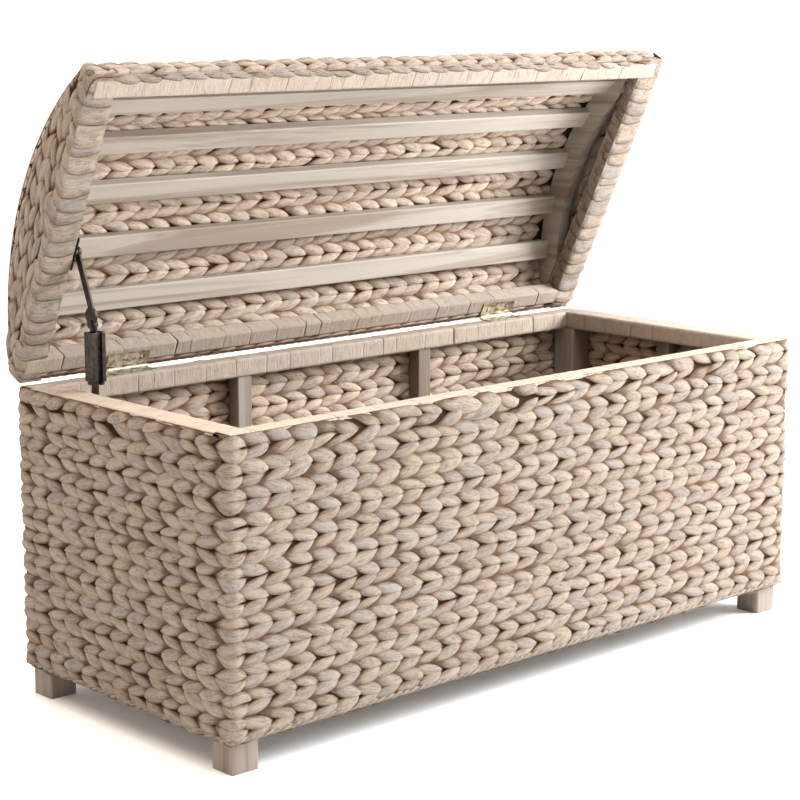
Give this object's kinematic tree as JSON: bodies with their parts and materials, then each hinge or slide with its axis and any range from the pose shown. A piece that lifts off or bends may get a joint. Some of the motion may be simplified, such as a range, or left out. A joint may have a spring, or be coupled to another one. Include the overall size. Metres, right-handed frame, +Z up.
{
  "type": "storage ottoman",
  "caption": "Long woven storage ottoman with a wooden frame, square feet and a hinged, shallow domed lid held open by a folding lid stay.",
  "frame": {"origin": "on the floor, at the middle of the footprint with the lid open as drawn, 17 mm behind the chest's own centre", "axes": "+X along the chest's length to the right seen from the front, +Y from front to back, +Z up"},
  "size_m": [1, 0.4544, 0.7856],
  "materials": {
    "whitewashed_wood": "matt, pale pinkish whitewash with faint grain",
    "floor_board": "plain plywood, lightly whitewashed",
    "woven_leaf": "dry, matt, whitewashed leaf with brown seams",
    "leaf_wrap": "flat dry leaf, matt with a soft sheen",
    "antique_brass": "antiqued, brushed",
    "black_steel": "satin black-brown coating",
    "spring_steel": "plain drawn wire"
  },
  "bodies": {
    "chest": {"post_front_left": "whitewashed_wood", "post_front_right": "whitewashed_wood", "post_back_left": "whitewashed_wood", "post_back_right": "whitewashed_wood", "top_rail_front": "whitewashed_wood", "top_rail_back": "whitewashed_wood", "top_rail_left": "whitewashed_wood", "top_rail_right": "whitewashed_wood", "rim_wrap": "leaf_wrap", "bottom_rail_front": "whitewashed_wood", "bottom_rail_back": "whitewashed_wood", "bottom_rail_left": "whitewashed_wood", "bottom_rail_right": "whitewashed_wood", "upright_front_left": "whitewashed_wood", "upright_front_right": "whitewashed_wood", "upright_back_left": "whitewashed_wood", "upright_back_right": "whitewashed_wood", "upright_end_left": "whitewashed_wood", "upright_end_right": "whitewashed_wood", "floor_panel": "floor_board", "floor_bearers": "whitewashed_wood", "weave_front": "woven_leaf", "weave_back": "woven_leaf", "weave_left": "woven_leaf", "weave_right": "woven_leaf", "hinge_left_body_leaf": "antique_brass", "hinge_left_pin": "antique_brass", "hinge_right_body_leaf": "antique_brass", "hinge_right_pin": "antique_brass", "hinge_body_screws": "antique_brass", "stay_foot_bracket": "black_steel", "stay_foot_screws": "black_steel"},
    "lid": {"lid_rail_front": "whitewashed_wood", "lid_rail_back": "whitewashed_wood", "lid_rail_left": "whitewashed_wood", "lid_rail_right": "whitewashed_wood", "lid_rim_wrap": "leaf_wrap", "lid_rib_left": "whitewashed_wood", "lid_rib_right": "whitewashed_wood", "lid_slat_1": "whitewashed_wood", "lid_slat_2": "whitewashed_wood", "lid_slat_3": "whitewashed_wood", "lid_slat_4": "whitewashed_wood", "lid_slat_5": "whitewashed_wood", "lid_weave_front": "woven_leaf", "lid_weave_back": "woven_leaf", "lid_weave_top": "woven_leaf", "lid_weave_left": "woven_leaf", "lid_weave_right": "woven_leaf", "hinge_left_lid_leaf": "antique_brass", "hinge_right_lid_leaf": "antique_brass", "hinge_lid_screws": "antique_brass", "stay_lid_bracket": "black_steel", "stay_lid_screws": "black_steel"},
    "stay_lower": {"stay_lower_arm": "black_steel", "stay_housing": "black_steel", "stay_spring": "spring_steel", "stay_elbow_rivet": "black_steel"},
    "stay_upper": {"stay_upper_arm": "black_steel"}
  },
  "joints": [
    {"name": "lid_hinge", "type": "hinge", "parent": "chest", "child": "lid", "pos_m": [0, 0.19, 0.3935], "axis": [1, 0, 0], "range_deg": [0, 65]},
    {"name": "stay_foot", "type": "hinge", "parent": "chest", "child": "stay_lower", "pos_m": [-0.44515, 0.143, 0.308], "axis": [1, 0, 0], "range_deg": [0, 69.25]},
    {"name": "stay_elbow", "type": "hinge", "parent": "stay_lower", "child": "stay_upper", "pos_m": [-0.44795, 0.097, 0.472], "axis": [1, 0, 0], "range_deg": [-79.26, 0]}
  ],
  "couplings": [
    {"joint": "stay_foot", "follows": "lid_hinge", "ratio": 1.065},
    {"joint": "stay_elbow", "follows": "lid_hinge", "ratio": -1.219}
  ]
}
